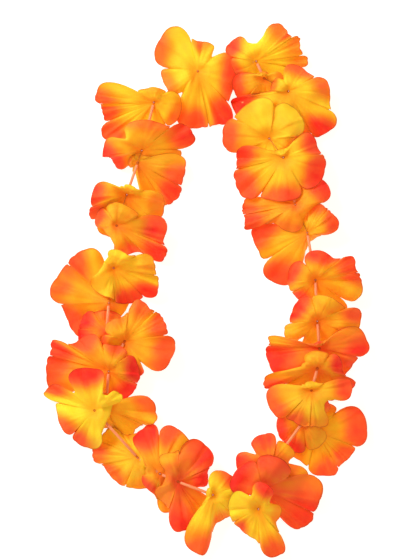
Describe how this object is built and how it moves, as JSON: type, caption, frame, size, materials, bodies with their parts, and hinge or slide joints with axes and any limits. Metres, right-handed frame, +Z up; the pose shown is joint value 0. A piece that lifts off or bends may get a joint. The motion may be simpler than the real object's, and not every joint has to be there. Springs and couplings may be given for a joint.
{
  "type": "artificial flower lei",
  "caption": "Garland of printed fabric flowers threaded on a closed loop of thread with plastic spacer tubes, lying flat as an open ring.",
  "frame": {"origin": "centre of the lei's outline on the plan, at the surface it lies on", "axes": "+Z up from the surface, +Y along the lei's length towards its narrow end, +X to the right seen from above"},
  "size_m": [0.3095, 0.5092, 0.0434],
  "materials": {
    "petal_fabric": "printed satin weave, stiffened",
    "spacer_tube": "thin translucent extrusion",
    "thread": "twisted tan cotton"
  },
  "bodies": {
    "root": {"flower_01": "petal_fabric", "flower_02": "petal_fabric", "flower_03": "petal_fabric", "flower_04": "petal_fabric", "flower_05": "petal_fabric", "flower_06": "petal_fabric", "flower_07": "petal_fabric", "flower_08": "petal_fabric", "flower_09": "petal_fabric", "flower_10": "petal_fabric", "flower_11": "petal_fabric", "flower_12": "petal_fabric", "flower_13": "petal_fabric", "flower_14": "petal_fabric", "flower_15": "petal_fabric", "flower_16": "petal_fabric", "flower_17": "petal_fabric", "flower_18": "petal_fabric", "flower_19": "petal_fabric", "flower_20": "petal_fabric", "flower_21": "petal_fabric", "flower_22": "petal_fabric", "flower_23": "petal_fabric", "flower_24": "petal_fabric", "flower_25": "petal_fabric", "flower_26": "petal_fabric", "flower_27": "petal_fabric", "flower_28": "petal_fabric", "flower_29": "petal_fabric", "flower_30": "petal_fabric", "flower_31": "petal_fabric", "flower_32": "petal_fabric", "flower_33": "petal_fabric", "flower_34": "petal_fabric", "thread": "thread", "tube_01": "spacer_tube", "tube_02": "spacer_tube", "tube_03": "spacer_tube", "tube_04": "spacer_tube", "tube_05": "spacer_tube", "tube_06": "spacer_tube", "tube_07": "spacer_tube", "tube_08": "spacer_tube", "tube_09": "spacer_tube", "tube_10": "spacer_tube", "tube_11": "spacer_tube", "tube_12": "spacer_tube", "tube_13": "spacer_tube", "tube_14": "spacer_tube", "tube_15": "spacer_tube", "tube_16": "spacer_tube", "tube_17": "spacer_tube", "tube_18": "spacer_tube", "tube_19": "spacer_tube", "tube_20": "spacer_tube", "tube_21": "spacer_tube", "tube_22": "spacer_tube", "tube_23": "spacer_tube"}
  },
  "joints": []
}
